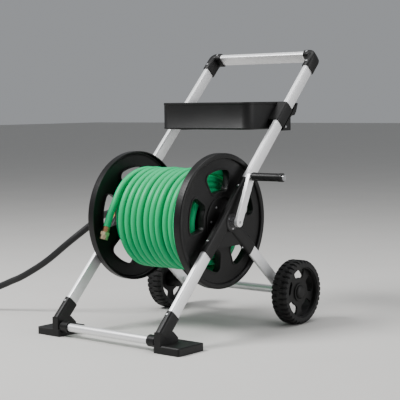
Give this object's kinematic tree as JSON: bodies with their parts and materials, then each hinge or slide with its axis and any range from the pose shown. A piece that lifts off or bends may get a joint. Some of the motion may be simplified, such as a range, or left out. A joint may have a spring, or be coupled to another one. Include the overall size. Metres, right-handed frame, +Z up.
{
  "type": "garden hose reel cart",
  "caption": "Wheeled hose reel cart: slanted tube frame, spinning drum wound with green hose, side crank, storage tray, spoked wheels and a short lead-in hose.",
  "frame": {"origin": "on the ground, centred under the box of the cart without its lead-in hose", "axes": "+Z up, +X along the reel axis towards the crank, +Y from the front feet towards the wheels and the push handle"},
  "size_m": [1.5082, 0.8134, 0.8688],
  "materials": {
    "aluminium": "satin",
    "black_plastic": "satin",
    "reel_plastic": "satin",
    "wheel_plastic": "satin",
    "tyre": "matte",
    "steel": "satin",
    "screw_steel": "satin",
    "bushing_plastic": "satin",
    "crank_plastic": "satin",
    "seal_rubber": "satin",
    "wound_hose": "satin",
    "green_hose": "satin",
    "copper": "satin",
    "brass": "satin",
    "black_hose": "satin"
  },
  "bodies": {
    "frame": {"right_upper_tube": "aluminium", "left_upper_tube": "aluminium", "right_lower_tube": "aluminium", "left_lower_tube": "aluminium", "handle_tube": "aluminium", "right_elbow": "black_plastic", "left_elbow": "black_plastic", "right_foot": "black_plastic", "left_foot": "black_plastic", "front_cross_bar": "aluminium", "right_bar_collar": "black_plastic", "left_bar_collar": "black_plastic", "right_bracket": "black_plastic", "left_bracket": "black_plastic", "right_rear_leg": "aluminium", "left_rear_leg": "aluminium", "rear_cross_tube": "aluminium", "axle": "steel", "right_axle_plug": "black_plastic", "left_axle_plug": "black_plastic", "axle_spacers": "black_plastic", "axle_nuts": "screw_steel", "storage_tray": "black_plastic", "right_tray_bracket": "black_plastic", "left_tray_bracket": "black_plastic", "right_tray_clip": "black_plastic", "left_tray_clip": "black_plastic", "shaft_bushing": "bushing_plastic", "bushing_screws": "screw_steel", "water_inlet": "reel_plastic", "inlet_seals": "seal_rubber", "leader_inlet_ferrule": "copper", "leader_hose": "black_hose", "leader_coil": "black_hose", "leader_end_ferrule": "copper", "joint_screws": "screw_steel", "tray_screws": "screw_steel"},
    "reel": {"right_flange": "reel_plastic", "left_flange": "reel_plastic", "drum": "reel_plastic", "flange_screws": "screw_steel", "crank_shaft": "steel", "crank_boss": "steel", "crank_arm": "aluminium", "crank_screw": "screw_steel", "grip_bolt": "steel", "water_elbow": "reel_plastic", "hose_winding": "wound_hose", "hose_end": "green_hose", "hose_ferrule": "copper", "hose_coupling": "brass"},
    "grip": {"grip": "crank_plastic"},
    "right_wheel": {"right_wheel_rim": "wheel_plastic", "right_tyre": "tyre", "right_hub_cap": "wheel_plastic"},
    "left_wheel": {"left_wheel_rim": "wheel_plastic", "left_tyre": "tyre", "left_hub_cap": "wheel_plastic"},
    "inlet_nut": {"leader_inlet_nut": "brass"},
    "end_nut": {"leader_end_nut": "brass"}
  },
  "joints": [
    {"name": "reel_spin", "type": "hinge", "parent": "frame", "child": "reel", "pos_m": [-0.03815, -0.07453, 0.344], "axis": [1, 0, 0], "continuous": true},
    {"name": "grip_spin", "type": "hinge", "parent": "reel", "child": "grip", "pos_m": [0.27185, -0.01241, 0.47723], "axis": [1, 0, 0], "continuous": true},
    {"name": "right_wheel_spin", "type": "hinge", "parent": "frame", "child": "right_wheel", "pos_m": [0.22085, 0.19686, 0.1015], "axis": [1, 0, 0], "continuous": true},
    {"name": "left_wheel_spin", "type": "hinge", "parent": "frame", "child": "left_wheel", "pos_m": [-0.29715, 0.19686, 0.1015], "axis": [1, 0, 0], "continuous": true},
    {"name": "inlet_nut_spin", "type": "hinge", "parent": "frame", "child": "inlet_nut", "pos_m": [-0.2753, -0.07453, 0.344], "axis": [1, 0, 0], "continuous": true},
    {"name": "end_nut_spin", "type": "hinge", "parent": "frame", "child": "end_nut", "pos_m": [-0.8389, -0.2161, 0.0174], "axis": [0.7071, -0.7071, 0], "continuous": true}
  ]
}
